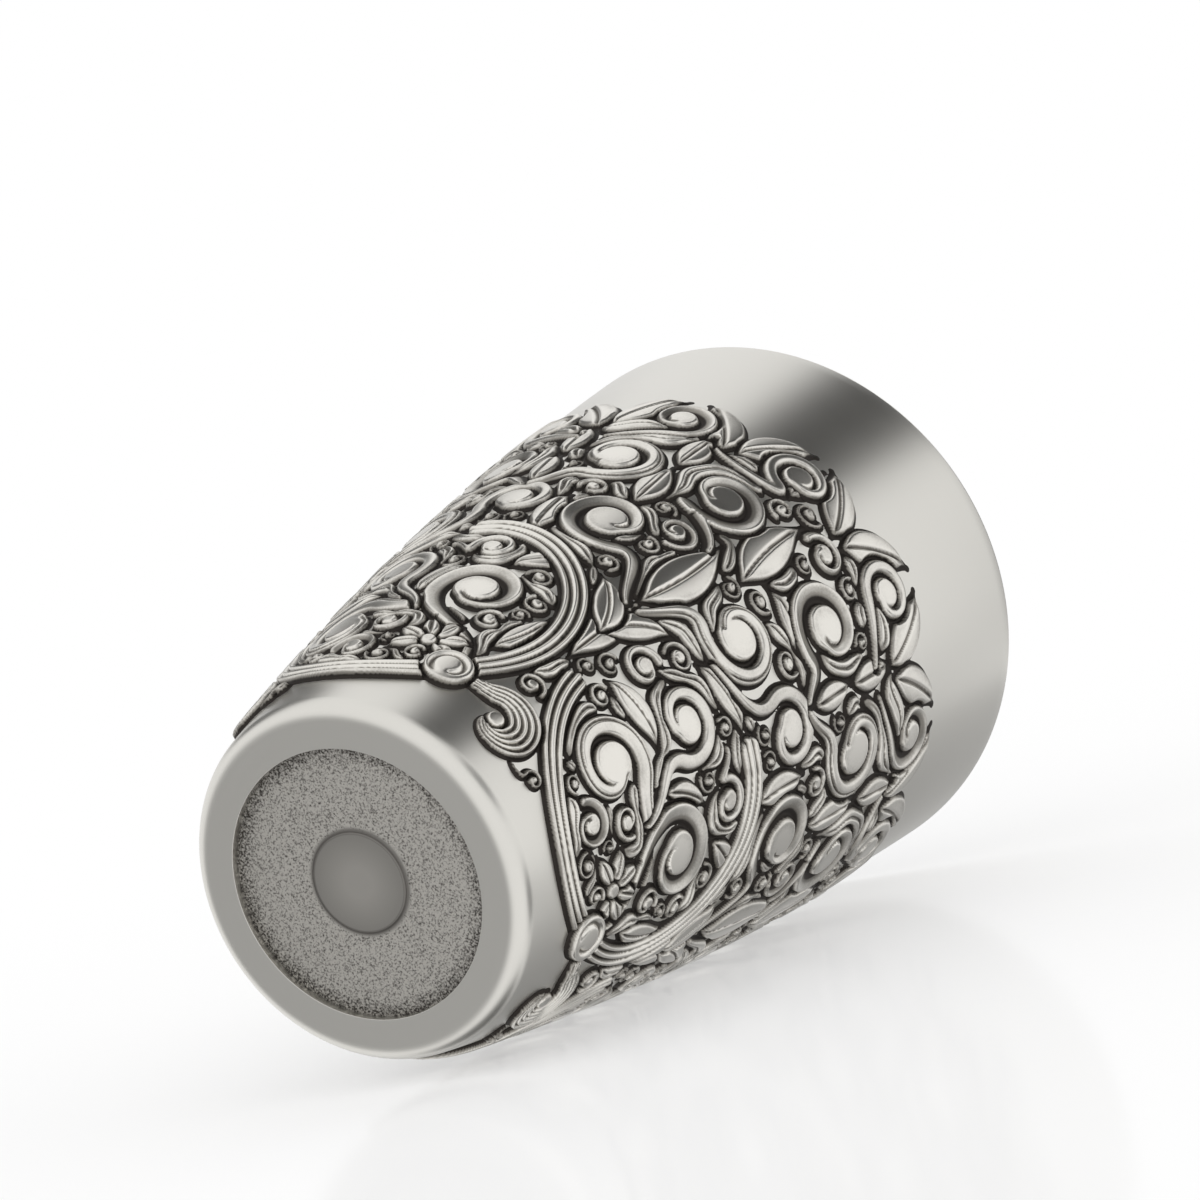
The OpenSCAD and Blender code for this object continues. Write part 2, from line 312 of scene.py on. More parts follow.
class Relief:
    """Height of the ornament over the wall, on a grid of one repeat of the drawing plane.

    x is 0 at the middle of a medallion and is periodic, and y runs up. A shape is painted over the older
    ones: inside it has its own height behind a sloping flank, and round it a groove is cut. `depth` is
    the distance inside the nearest shape's outline, negative outside. The grid starts two blocks under the
    lowest ornament.
    """

    def __init__(self, high, sizes):
        self.columns = 2 * BLOCK * round(PERIOD / (sizes.step / MM) / (2 * BLOCK))
        self.step = PERIOD / self.columns
        self.low = -2 * BLOCK * self.step
        self.rows = BLOCK * math.ceil((high - 2 * self.low) / self.step / BLOCK) + 1
        self.half = self.columns // 2
        self.x = (np.arange(self.columns) - self.half) * self.step
        self.y = self.low + np.arange(self.rows) * self.step
        self.groove = sizes.groove / MM
        self.height = np.full((self.rows, self.columns), GROUND)
        self.depth = np.full((self.rows, self.columns), -REACH)

    def window(self, lowest, highest):
        """Steps across and rows that hold a stretch of the plane."""
        across = np.arange(math.floor(lowest[0] / self.step), math.ceil(highest[0] / self.step) + 1)
        rows = np.flatnonzero((self.y >= lowest[1]) & (self.y <= highest[1]))
        return across, rows

    def paint(self, across, rows, depth, height, groove):
        """Lays one shape on the field, a period at a time."""
        for first in range(0, len(across), self.columns):
            part = slice(first, first + self.columns)
            place = np.ix_(rows, (across[part] + self.half) % self.columns)
            inside = depth[:, part]
            wall = np.clip(inside / FLANK, 0, 1)
            raised = GROUND + (height[:, part] - GROUND) * wall * (2 - wall)
            cut = GROUND + GROOVE_RISE * smooth(0.5 * groove, groove, -inside)
            old = self.height[place]
            self.height[place] = np.where(inside > 0, raised, np.minimum(old, cut))
            self.depth[place] = np.maximum(self.depth[place], inside)

    def stroke(self, path, half_widths, section, groove=None):
        """Paints a strand: its section is carried along a path, with the half width at each point."""
        length = np.concatenate([[0], np.cumsum(np.hypot(*np.diff(path, axis=0).T))])
        count = max(FEWEST_SAMPLES, round(length[-1] / SAMPLE))
        at = np.linspace(0, length[-1], count)
        path = np.stack([np.interp(at, length, path[:, i]) for i in (0, 1)], -1)
        half = np.interp(at, length, half_widths)
        along = np.gradient(path, axis=0)
        along /= np.hypot(*along.T)[:, None]
        margin = half.max() + REACH
        across, rows = self.window(path.min(0) - margin, path.max(0) + margin)
        spots = np.stack(np.meshgrid(across * self.step, self.y[rows]), -1)
        spots = spots.reshape(-1, 2).astype(np.float32)
        line = path.astype(np.float32)
        near = np.concatenate([
            np.argmin(np.hypot(part[:, None, 0] - line[:, 0], part[:, None, 1] - line[:, 1]) - half, axis=1)
            for part in np.array_split(spots, max(1, len(spots) * count // MOST_PAIRS))])
        offset = spots - path[near]
        beyond = np.maximum(np.abs((offset * along[near]).sum(1)) - SAMPLE / 2, 0)
        lateral = along[near, 0] * offset[:, 1] - along[near, 1] * offset[:, 0]
        wide = half[near]
        shape = (len(rows), len(across))
        depth = (wide - np.hypot(lateral, beyond)).reshape(shape)
        height = section(np.clip(lateral / wide, -1, 1), near / (count - 1), wide).reshape(shape)
        self.paint(across, rows, depth, height, self.groove if groove is None else groove)

    def disc(self, centre, radius, section, groove=None):
        """Paints a round shape whose height depends on the share of its radius and the turn."""
        centre = np.asarray(centre, float)
        across, rows = self.window(centre - radius - REACH, centre + radius + REACH)
        x, y = np.meshgrid(across * self.step - centre[0], self.y[rows] - centre[1])
        away = np.hypot(x, y)
        height = section(np.minimum(away / radius, 1), np.arctan2(y, x))
        self.paint(across, rows, radius - away, height, self.groove if groove is None else groove)

    def blurred(self, field, sigma):
        """Gaussian blur, periodic across and clamped at the edges upwards."""
        reach = math.ceil(3 * sigma / self.step)
        weights = np.exp(-0.5 * (np.arange(-reach, reach + 1) * self.step / sigma) ** 2)
        weights /= weights.sum()
        level = sum(w * np.roll(field, k - reach, 1) for k, w in enumerate(weights))
        tall = np.pad(level, ((reach, reach), (0, 0)), mode="edge")
        return sum(w * tall[k:k + self.rows] for k, w in enumerate(weights))


class Volute(NamedTuple):
    """A strand that leaves its root with a heading and winds in to an eye.

    Lengths are in mm, angles in degrees, and the way is 1 if it winds to the left, -1 if to the right.
    """

    x: float
    y: float
    radius: float
    start: float
    way: int
    root: tuple
    heading: float
    half: float
    section: str


class Leaf(NamedTuple):
    """A pointed leaf. The bend and the slimness are shares of its length."""

    x: float
    y: float
    length: float
    angle: float
    bend: float
    slim: float


# Layout of one repeat on the drawing plane, in mm and degrees
RING_CENTRE = (0.0, 26.5)
RING_R = 23.4
RING_HALF = 2.15
RING_ENDS = (-172, 92)
RING_RIDGES = 3
ROSETTE_ANGLE = -48.7
ROSETTE_R = 4.35
# Height up to which the ornament beside the rings belongs to a spray, and at which the panel is split
SPRAY_TOP = 17.0
SPLIT = 52.0

CREST = (
    Leaf(-26.0, 84.5, 9.5, 90, 0.05, 0.4), Leaf(-18.8, 85.5, 12.0, 124, -0.08, 0.4),
    Leaf(-16.9, 85.5, 12.4, 58, 0.08, 0.42), Leaf(-1.0, 85.0, 12.2, 122, -0.08, 0.42),
    Leaf(0.9, 85.5, 11.6, 57, 0.08, 0.4), Leaf(16.8, 85.0, 12.4, 123, -0.08, 0.42),
    Leaf(18.7, 85.5, 12.0, 57, 0.08, 0.4),
)
COLUMN = (
    Leaf(26.7, 27.0, 20.0, 90, 0.0, 0.24), Leaf(26.7, 35.0, 13.0, 58, 0.12, 0.36),
    Leaf(26.7, 35.0, 13.0, 122, -0.12, 0.36), Leaf(26.7, 46.0, 21.0, 88, -0.05, 0.3),
    Leaf(-20.6, 64.0, 18.0, 94, 0.06, 0.32),
)
SPRIGS = (
    Leaf(17.6, 18.5, 13.5, 78, -0.1, 0.3), Leaf(-20.5, 29.0, 13.0, 8, 0.08, 0.34),
    Leaf(-1.6, 29.5, 10.0, 62, 0.1, 0.36), Leaf(9.0, 39.5, 11.0, 38, 0.08, 0.34),
    Leaf(-15.0, 46.5, 12.5, 14, 0.08, 0.3), Leaf(6.9, 50.5, 12.0, 92, 0.05, 0.34),
    Leaf(-7.0, 50.5, 9.0, 155, 0.1, 0.36), Leaf(14.7, 64.5, 12.0, 92, 0.0, 0.34),
    Leaf(-1.5, 66.5, 9.0, 92, 0.0, 0.4), Leaf(-1.4, 76.0, 9.0, 90, 0.0, 0.42),
    Leaf(14.6, 77.0, 9.5, 88, 0.0, 0.4), Leaf(-8.5, 66.5, 10.0, 172, -0.1, 0.34),
)
SCROLLS = (
    Volute(14.6, 58.2, 8.0, 300, -1, (25.5, 44.0), 125, 1.5, "scoop"),
    Volute(-15.2, 57.0, 8.2, 240, 1, (-25.5, 44.0), 55, 1.55, "rope"),
    Volute(-0.3, 59.5, 6.7, 200, -1, (-13.5, 49.0), 20, 1.3, "band"),
    Volute(-9.5, 74.5, 7.7, 290, -1, (-1.0, 65.0), 170, 1.45, "scoop"),
    Volute(6.6, 75.0, 7.7, 260, 1, (-1.0, 65.0), 20, 1.45, "rope"),
    Volute(22.4, 75.0, 7.3, 250, 1, (26.7, 64.0), 100, 1.4, "scoop"),
    Volute(-8.9, 89.0, 5.4, 250, -1, (-2.0, 81.5), 160, 1.1, "band"),
    Volute(8.9, 89.0, 5.4, 290, 1, (2.0, 81.5), 20, 1.1, "scoop"),
    Volute(26.7, 88.8, 5.6, 250, -1, (16.5, 84.0), -40, 1.15, "band"),
)
MEDALLION = (
    Volute(-9.5, 19.5, 9.4, 60, 1, (10.0, 22.5), 150, 1.85, "rope"),
    Volute(8.6, 30.5, 8.6, 200, -1, (15.5, 11.0), 80, 1.65, "scoop"),
    Volute(-9.5, 38.2, 7.2, 330, 1, (1.5, 24.0), 110, 1.4, "band"),
    Volute(4.2, 43.2, 4.3, 180, -1, (-3.0, 45.0), 10, 0.9, "band"),
)
FLOWER = (8.8, 14.2)
FLOWER_EYE = 1.5
PETAL_ANGLES = (-25, 22, 68, 112, 158, 205)
PETAL_START = 1.0
PETAL_LENGTH = 6.0
PETAL_SLIM = 0.46
FAN_CENTRE = (27.5, 4.8)
FAN_R = 5.6
FAN_EYE = 1.8
FAN_ROOT = (18.6, 8.6)
FAN_ROOT_HALF = 0.9
FAN_RIDGES = 5
# Half width of the fan by the share of its way round the eye
FAN_SWELL = ((0.0, 2.2), (0.25, 3.1), (0.45, 3.1), (0.65, 2.1), (0.8, 1.4), (1.0, 0.7))
FAN_BALL = Volute(39.2, 2.7, 2.3, 200, -1, (34.6, 1.2), -20, 0.5, "band")
# Groove round the eye of a flower or fan
EYE_GROOVE = 0.35
# Turns that a scroll winds
WINDING = 1.2


def draw_volute(relief, v, turns=WINDING, groove=None):
    """A Bezier tail from the root, then a spiral that swells into a flat eye.

    The spiral's radius falls with a power of the way along it, so that it closes in faster and faster. The
    strand thins on the way, and a smooth step widens it to the eye.
    """
    eye_share, closing, eye_offset, thinning = 0.62, 1.3, 0.2, 0.4
    eye_from, flat_from, flat_to, eye_height = 0.74, 0.93, 0.97, 0.93
    root_share, pull_share = 0.45, 0.45
    eye = eye_share * (v.radius - 2 * v.half)
    t = np.linspace(0, 1, SPIRAL_POINTS)
    reach = (v.radius - v.half) * (1 - t ** closing) + eye_offset * eye * t
    path = np.array([v.x, v.y]) + reach[:, None] * unit(v.start + v.way * 360 * turns * t)
    thin = v.half * (1 - thinning * t)
    half = thin + (eye - thin) * smooth(eye_from, flat_to, t)
    if v.root:
        root = np.array(v.root)
        pull = pull_share * np.hypot(*(path[0] - root))
        arrive = unit(v.start + 90 * v.way)
        tail = bezier(root, root + pull * unit(v.heading), path[0] - pull * arrive, path[0])
        path = np.concatenate([tail[:-1], path])
        half = np.concatenate([np.linspace(root_share * v.half, v.half, len(tail) - 1), half])
    strand = {"scoop": scoop_section(-v.way), "band": band_section, "rope": rope_section(-v.way)}[v.section]

    def section(q, t, wide):
        end = smooth(flat_from, flat_to, t)
        return strand(q, t, wide) * (1 - end) + eye_height * end

    relief.stroke(path, half, section, groove)


def draw_leaf(relief, leaf):
    """A bent line whose half width is a sine and its square in equal shares, so both ends are pointed."""
    skew, plump, thinnest = 0.85, 1.1, 0.12
    along = unit(leaf.angle)
    aside = np.array([-along[1], along[0]]) * leaf.bend
    root = np.array([leaf.x, leaf.y])
    path = bezier(root, root + leaf.length * (along / 3 + aside),
                  root + leaf.length * (along * 2 / 3 + aside), root + leaf.length * along)
    swell = np.sin(np.pi * np.linspace(0, 1, len(path)) ** skew)
    half = leaf.slim * leaf.length / 2 * plump * (swell + swell ** 2) / 2
    relief.stroke(path, np.maximum(half, thinnest), blade_section)


def draw_fan(relief):
    """A fluted strand that springs from a rosette and winds to the right round an eye, and a small scroll.

    The spiral's radius falls with a power of the way along it, and a table gives its half width.
    """
    start, sweep, closing, power = 120, 270, 0.8, 2.2
    t = np.linspace(0, 1, ROUND_POINTS)
    centre = np.array(FAN_CENTRE)
    spiral = centre + (FAN_R * (1 - closing * t ** power))[:, None] * unit(start - sweep * t)
    root = np.array(FAN_ROOT)
    leave = 2.5 * unit(15)
    arrive = 2 * unit(30)
    tail = bezier(root, root + leave, spiral[0] - arrive, spiral[0])
    swell = np.interp(t, *np.transpose(FAN_SWELL))
    opening = np.linspace(FAN_ROOT_HALF, swell[0], len(tail))[:-1]
    half = np.concatenate([opening, softened(softened(swell))])
    relief.stroke(np.concatenate([tail[:-1], spiral]), half, comb_section(FAN_RIDGES))
    relief.disc(centre, FAN_EYE, eye_section, EYE_GROOVE)
    draw_volute(relief, FAN_BALL, 1.0)


def softened(values):
    """Mean along a line with bell-shaped weights, whose ends are repeated and so stay about in place."""
    reach = 4
    bell = np.hanning(2 * reach + 3)
    weights = bell[1:-1] / bell.sum()
    tall = np.concatenate([np.repeat(values[:1], reach, 0), values, np.repeat(values[-1:], reach, 0)])
    return sum(w * tall[k:k + len(values)] for k, w in enumerate(weights))


# Filling of gaps, in mm: a step along a gap, the room that a step needs, and the rooms from which a gap is
# filled at all and gets a scroll. Then the most steps of a walk and the most gaps that are filled
GAP_STEP = 0.35
GAP_ROOM = 0.5
GAP_LEAST = 1.15
GAP_SCROLL = 1.9
GAP_STEPS = 32
MOST_FILLS = 110


def gap_line(relief, room, place):
    """Line along the middle of a gap: from a place, step by step each way to where the gap is widest."""
    turns = np.arange(-32, 33, 8)
    looks_ahead = (0, 1, 3)
    probe, nearly_back = 1.2, 130

    def room_at(spots):
        rows = np.clip(np.rint((spots[:, 1] - relief.low) / relief.step).astype(int), 0, relief.rows - 1)
        columns = (np.rint(spots[:, 0] / relief.step).astype(int) + relief.half) % relief.columns
        return room[rows, columns]

    def walk(heading):
        spot, line = place, []
        for _ in range(GAP_STEPS):
            ways = heading + turns
            spots = spot + GAP_STEP * unit(ways)
            ahead = sum(room_at(spots + k * GAP_STEP * unit(ways)) for k in looks_ahead)
            best = np.argmax(ahead)
            if room_at(spots)[best] < GAP_ROOM:
                break
            spot, heading = spots[best], ways[best]
            line.append(spot)
        return line

    rays = np.arange(0, 360, 15)
    around = room_at(place + probe * unit(rays))
    first = rays[np.argmax(around)]
    opposite = np.abs((rays - first + 180) % 360 - 180) > nearly_back
    second = rays[opposite][np.argmax(around[opposite])]
    line = softened(softened(np.array(walk(second)[::-1] + [place] + walk(first))))
    return line, softened(room_at(line))


def fill_gaps(relief, top):
    """Puts a small scroll, leaf or ball in the widest gap, again and again, until only grooves are left."""
    below_crest, scallops, scallop_rise, above_fans = 6.2, 3, 2.4, 16
    slack, thinnest, widest, opening = 0.2, 0.25, 1.6, 0.5
    scroll_slack, strand_share, fewest_steps = 0.15, 0.21, 9
    x, y = np.meshgrid(relief.x, relief.y)
    edge = top - below_crest + scallop_rise * np.sin(scallops * np.pi * x / PERIOD) ** 2
    ring_out = RING_R + RING_HALF
    low = RING_CENTRE[1] - np.sqrt(np.maximum(ring_out ** 2 - x ** 2, 0))
    open_ground = (y < edge) & ((y > low) | (y > above_fans))
    for count in range(MOST_FILLS):
        room = np.where(open_ground, np.minimum(-relief.depth, edge - y), -REACH)
        row, column = np.unravel_index(np.argmax(room), room.shape)
        wide = room[row, column]
        if wide < GAP_LEAST:
            break
        place = np.array([relief.x[column], relief.y[row]])
        line, free = gap_line(relief, room, place)
        if wide > GAP_SCROLL:
            radius = wide - scroll_slack
            way = 1 if count % 2 else -1
            toward = line[0] - place
            start = math.degrees(math.atan2(toward[1], toward[0]))
            section = ("scoop", "band", "rope")[count % 3]
            scroll = Volute(*place, radius, start, way, (), 0, strand_share * radius, section)
            draw_volute(relief, scroll, WINDING, FINE_GROOVE)
        elif len(line) < fewest_steps:
            relief.disc(place, wide - slack, eye_section, FINE_GROOVE)
        else:
            behind = np.arange(len(line)) * GAP_STEP
            taper = np.minimum(slack + opening * behind, slack + opening * behind[::-1])
            half = np.minimum(np.clip(free - slack, thinnest, widest), taper)
            relief.stroke(line, half, blade_section, FINE_GROOVE)


def draw_ornament(relief, top):
    """All shapes of one repeat, the hindmost first."""
    for leaf in CREST + COLUMN + SPRIGS:
        draw_leaf(relief, leaf)
    for volute in SCROLLS + MEDALLION:
        draw_volute(relief, volute)
    for angle in PETAL_ANGLES:
        root = FLOWER + PETAL_START * unit(angle)
        draw_leaf(relief, Leaf(*root, PETAL_LENGTH, angle, 0.0, PETAL_SLIM))
    relief.disc(FLOWER, FLOWER_EYE, eye_section, EYE_GROOVE)
    ring = arc(RING_CENTRE, RING_R, *RING_ENDS, ROUND_POINTS)
    relief.stroke(ring, np.full(len(ring), RING_HALF), comb_section(RING_RIDGES))
    draw_fan(relief)
    rosette = RING_CENTRE + RING_R * unit(ROSETTE_ANGLE)
    relief.disc(rosette, ROSETTE_R, rosette_section)
    fill_gaps(relief, top)
    return rosette


def make_piece(name, points, faces, material, node, normals=None, patina=None, uv=None):
    """Puts a surface into a new object that rides on the body and stands for a CAD node.

    `points` are in mm. `faces` is a list of index arrays with one row per face.
    """
    mesh = bpy.data.meshes.new(name)
    corners = np.concatenate([f.ravel() for f in faces])
    totals = np.concatenate([np.full(len(f), f.shape[1]) for f in faces])
    mesh.vertices.add(len(points))
    mesh.vertices.foreach_set("co", (points * MM).astype(np.float32).ravel())
    mesh.loops.add(len(corners))
    mesh.loops.foreach_set("vertex_index", corners.astype(np.int32))
    mesh.polygons.add(len(totals))
    mesh.polygons.foreach_set("loop_start", np.concatenate([[0], np.cumsum(totals)[:-1]]).astype(np.int32))
    mesh.polygons.foreach_set("use_smooth", np.ones(len(totals), bool))
    mesh.update(calc_edges=True)
    if mesh.validate():
        raise RuntimeError(f"{name} has faces that can't be right")
    if uv is not None:
        layer = mesh.uv_layers.new(name="surface")
        layer.data.foreach_set("uv", uv.astype(np.float32).ravel())
    if patina is not None:
        mesh.attributes.new("patina", "FLOAT", "POINT").data.foreach_set("value", patina.astype(np.float32))
    if normals is not None:
        mesh.normals_split_custom_set_from_vertices(normals.tolist())
    mesh.materials.append(material)
    piece = bpy.data.objects.new(name, mesh)
    bpy.context.scene.collection.objects.link(piece)
    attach(piece, BODY)
    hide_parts(node)


def around_axis(r, z, turn):
    """Points of a loop of radii and heights at each turn round the axis."""
    return np.stack([r * np.cos(turn), r * np.sin(turn), np.broadcast_to(z, r.shape)], -1).reshape(-1, 3)


def loop_quads(count, segments):
    """Faces of a closed loop of points carried round the axis, and the row and column of each corner."""
    i, j = np.meshgrid(np.arange(count), np.arange(segments), indexing="ij")
    rows = np.stack([i, i, i + 1, i + 1], -1)
    columns = np.stack([j, j + 1, j + 1, j], -1)
    quads = (rows % count * segments + columns % segments).reshape(-1, 4)
    return quads, rows, columns


def revolve(profile, segments):
    """Closed loop of radius and height carried once round the axis, with both directions joined up.

    Returns the points, the faces and for each corner the length round and along the profile in mm.
    """
    turn = np.arange(segments) * 2 * np.pi / segments
    r, z = profile.T
    points = around_axis(np.repeat(r[:, None], segments, 1), z[:, None], turn)
    quads, rows, columns = loop_quads(len(profile), segments)
    closed = np.concatenate([profile, profile[:1]])
    length = np.concatenate([[0], np.cumsum(np.hypot(*np.diff(closed, axis=0).T))])
    uv = np.stack([columns / segments * 2 * np.pi * r.mean(), length[rows]], -1)
    return points, [quads], uv.reshape(-1, 2)


def revolve_disc(profile, segments):
    """Line of radius and height from axis to axis, carried round it and closed by two poles."""
    points, faces, _ = revolve(profile[1:-1], segments)
    rings = len(profile) - 2
    quads = faces[0][:(rings - 1) * segments]
    first, last = rings * segments, rings * segments + 1
    poles = np.array([[0, 0, profile[0, 1]], [0, 0, profile[-1, 1]]])
    j = np.arange(segments)
    nxt = (j + 1) % segments
    low_fan = np.stack([np.full(segments, first), nxt, j], -1)
    top = (rings - 1) * segments
    high_fan = np.stack([np.full(segments, last), top + j, top + nxt], -1)
    return np.concatenate([points, poles]), [quads, low_fan, high_fan]


def level_line(radii, z):
    """Points of a profile that lie at one height."""
    return np.stack([radii, np.full(len(radii), z)], -1)


def cup_profile(side, sizes):
    """Outline of the wall: foot flat, foot rounding, side, lip round, inside, ledge and recess edge."""
    rounding = sizes.foot_rounding / MM
    wall = sizes.wall / MM
    recess = sizes.recess_diameter / MM / 2
    ledge = sizes.ledge / MM
    tip = sizes.edge_break / MM
    lean = math.degrees(math.atan(side.slope(rounding)))
    foot_top = rounding * (1 - math.sin(math.radians(lean)))
    centre = np.array([side.radius(foot_top) - rounding * math.cos(math.radians(lean)), rounding])
    lip = wall / 2
    lip_z = side.height - lip
    up = np.linspace(foot_top, lip_z, 60)[1:-1]
    down = np.linspace(lip_z, ledge, 50)[1:]
    return np.concatenate([
        arc((recess + tip, tip), tip, 180, 270, 5),
        level_line(np.linspace(recess + tip, centre[0], 8)[1:-1], 0),
        arc(centre, rounding, -90, -lean, 20),
        np.stack([side.radius(up), up], -1),
        arc((side.radius(lip_z) - lip, lip_z), lip, 0, 180, 20),
        np.stack([side.radius(down) - wall, down], -1),
        level_line(np.linspace(side.radius(ledge) - wall, recess + tip, 6)[1:], ledge),
        np.array([[recess, ledge - tip]]),
    ])


def base_profile(sizes):
    """Half section of the base from the pad's rounded middle, out along the underside and back on top."""
    low, high = (np.array(corner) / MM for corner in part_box("base_plate"))
    pad = sizes.pad_diameter / MM / 2
    ledge = sizes.ledge / MM
    rise = ledge - low[2]
    edge = high[0]
    # Points this far inside the edge's corners keep its shading crisp
    beside_pad, hold = 0.3, 0.1
    return np.concatenate([
        level_line(np.linspace(0, pad - rise, 12)[:-1], low[2]),
        arc((pad - rise, ledge), rise, -90, 0, 10)[:-1],
        level_line(np.linspace(pad + beside_pad, edge, 24), ledge),
        np.array([[edge, ledge + hold], [edge, high[2] - hold]]),
        level_line(np.linspace(edge, 0, 24), high[2]),
    ])


# How the solder's leg swells and shrinks, in shares of its room: the mean, and the waves round the foot by
# their number, share and shift
SOLDER_MEAN = 0.86
SOLDER_WAVES = ((3, 0.08, 1), (7, 0.05, 2), (17, 0.03, 0))


def solder_ring(segments):
    """Closed loop round the foot inside: a hollow fillet whose leg is a mean plus three sine waves."""
    low, high = (np.array(corner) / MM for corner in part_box("solder_fillet"))
    leg = high[2] - low[2]
    clearance, thin_top = 0.02, 0.98
    turn = np.arange(segments) * 2 * np.pi / segments
    swells = (share * np.sin(waves * turn + shift) for waves, share, shift in SOLDER_WAVES)
    size = leg * sum(swells, SOLDER_MEAN)
    hollow = np.radians(np.linspace(0, 90, 9))[::-1][:-1]
    # In shares of the leg: in along the base, up the wall, and down along a quarter of a hollow circle
    across = np.concatenate([[-1.0, 0.0], -1 + np.sin(hollow) * thin_top])
    upward = np.concatenate([[0.0, 0.0], 1 - np.cos(hollow)])
    r = high[0] - clearance + across[:, None] * size
    z = low[2] + upward[:, None] * size
    return around_axis(r, z, turn), [loop_quads(len(across), segments)[0]]


def wall_fans(front, left, right):
    """Triangles of the side walls of blocks: each joins a row of front points to two points of the back."""
    last = front.shape[1] - 1
    fans = [np.stack([left, right, front[:, last]], -1)]
    fans += [np.stack([left, front[:, k + 1], front[:, k]], -1) for k in range(last)]
    return np.concatenate(fans)


def relief_faces(kept, width):
    """Faces of a closed skin over the kept blocks of a grid.

    The front has all cells of a block and the back one face per block. Where a block has no neighbour, a
    wall closes the gap between front and back.
    """
    rows, columns = kept.shape
    back_start = (rows * BLOCK + 1) * width
    back_width = columns + 1
    row, column = np.nonzero(kept)
    inner = np.arange(BLOCK)
    cell_rows = row[:, None, None] * BLOCK + inner[:, None]
    first = (cell_rows * width + column[:, None, None] * BLOCK + inner).ravel()
    front = np.stack([first, first + 1, first + 1 + width, first + width], -1)
    corner = back_start + row * back_width + column
    back = np.stack([corner, corner + back_width, corner + back_width + 1, corner + 1], -1)
    fence = np.pad(kept, 1)
    edge = np.arange(BLOCK + 1)
    walls = []
    for up, across in ((-1, 0), (1, 0), (0, -1), (0, 1)):
        row, column = np.nonzero(kept & ~fence[1 + up:1 + up + rows, 1 + across:1 + across + columns])
        low = (row * BLOCK * width + column * BLOCK)[:, None]
        here = back_start + row * back_width + column
        if up == -1:
            walls.append(wall_fans(low + edge, here, here + 1))
        elif up == 1:
            high = low + BLOCK * width
            walls.append(wall_fans(high + edge[::-1], here + back_width + 1, here + back_width))
        elif across == -1:
            walls.append(wall_fans(low + edge[::-1] * width, here + back_width, here))
        else:
            walls.append(wall_fans(low + BLOCK + edge * width, here + 1, here + back_width + 1))
    return [np.concatenate([front, back]), np.concatenate(walls)]


# Pieces into which a repeat is cut
NOTHING, LOWER_PANEL, UPPER_PANEL, SPRAY, ROSETTE = range(5)
# Room round the ring and the rosette that goes with them, in mm
RING_ROOM = 0.3
ROSETTE_ROOM = 0.5
# The skin sinks into the wall between these shares of a groove's width
SINK_FROM = 0.4
SINK_TO = 1.1


